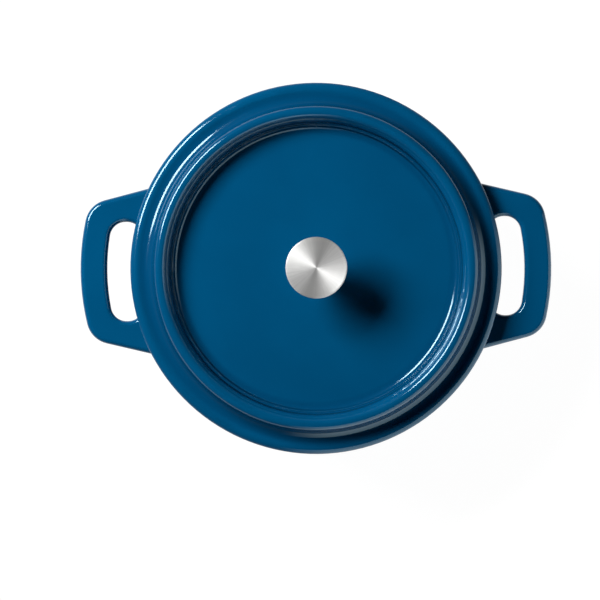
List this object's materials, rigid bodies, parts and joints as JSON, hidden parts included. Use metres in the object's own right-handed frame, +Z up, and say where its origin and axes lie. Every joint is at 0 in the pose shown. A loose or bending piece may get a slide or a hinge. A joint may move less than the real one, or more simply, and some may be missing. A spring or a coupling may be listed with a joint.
{
  "type": "dutch oven",
  "caption": "Round enamelled cast iron dutch oven with loop handles, a lift-off lid with a raised ring and a sunk top, and a brushed steel knob screwed on from below.",
  "frame": {"origin": "on the surface that the pot stands on, under the pot's axis", "axes": "+X along the line through both handles, +Z up"},
  "size_m": [0.3214, 0.252, 0.1464],
  "materials": {
    "enamel": "glossy vitreous enamel, blue outside and cream inside the pot and under the lid",
    "knob_steel": "brushed in circles",
    "fastener_steel": "plain stainless",
    "gasket": "matte silicone"
  },
  "bodies": {
    "pot": {"pot": "enamel"},
    "lid_axis": {"flat_washer": "fastener_steel"},
    "lid": {"lid": "enamel", "knob_screw": "fastener_steel", "lock_washer": "fastener_steel"},
    "knob_seat": {"knob_gasket": "gasket"},
    "knob": {"knob_cap": "knob_steel", "knob_stem": "knob_steel", "knob_insert": "fastener_steel"}
  },
  "joints": [
    {"name": "lid_lift", "type": "slide", "parent": "pot", "child": "lid_axis", "axis": [0, 0, 1], "range_m": [0, 0.18]},
    {"name": "lid_turn", "type": "hinge", "parent": "lid_axis", "child": "lid", "pos_m": [0, 0, 0.104], "axis": [0, 0, 1], "continuous": true},
    {"name": "knob_rise", "type": "slide", "parent": "lid", "child": "knob_seat", "axis": [0, 0, 1], "range_m": [0, 0.009]},
    {"name": "knob_turn", "type": "hinge", "parent": "knob_seat", "child": "knob", "pos_m": [0, 0, 0.1114], "axis": [0, 0, 1], "range_deg": [0, 3240]}
  ],
  "couplings": [
    {"joint": "knob_rise", "follows": "knob_turn", "m_per_rad": 0.00015915}
  ]
}
